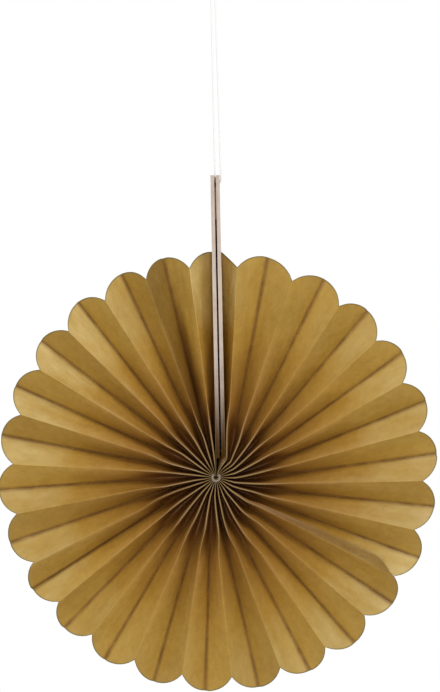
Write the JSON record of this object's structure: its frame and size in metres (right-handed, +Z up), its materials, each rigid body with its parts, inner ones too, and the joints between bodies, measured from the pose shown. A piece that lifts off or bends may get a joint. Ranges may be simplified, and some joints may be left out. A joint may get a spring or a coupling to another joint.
{
  "type": "paper fan rosette",
  "caption": "Round pleated paper fan with a scalloped rim, opened to a full circle between grey cards and hung by a thread loop.",
  "frame": {"origin": "inside top of the thread's hanging loop, where the hook bears", "axes": "+Z up along the hanging line, +X to the right as the face is seen, +Y to the back; the face looks along -Y"},
  "size_m": [0.2496, 0.0176, 0.4062],
  "materials": {
    "kraft_paper": "matt golden-brown kraft paper, fibrous, creased at its folds",
    "greyboard": "bare cut greyboard, matt",
    "foam_tape": "matt tan foam tape",
    "binding_thread": "waxed off-white thread",
    "hanging_thread": "white twisted thread"
  },
  "bodies": {
    "root": {"fan_sheet_right": "kraft_paper", "fan_sheet_lower": "kraft_paper", "fan_sheet_left": "kraft_paper", "card_left": "greyboard", "card_right": "greyboard", "foam_strip": "foam_tape", "centre_binding": "binding_thread", "hanging_thread": "hanging_thread", "loop_knot": "hanging_thread"}
  },
  "joints": []
}
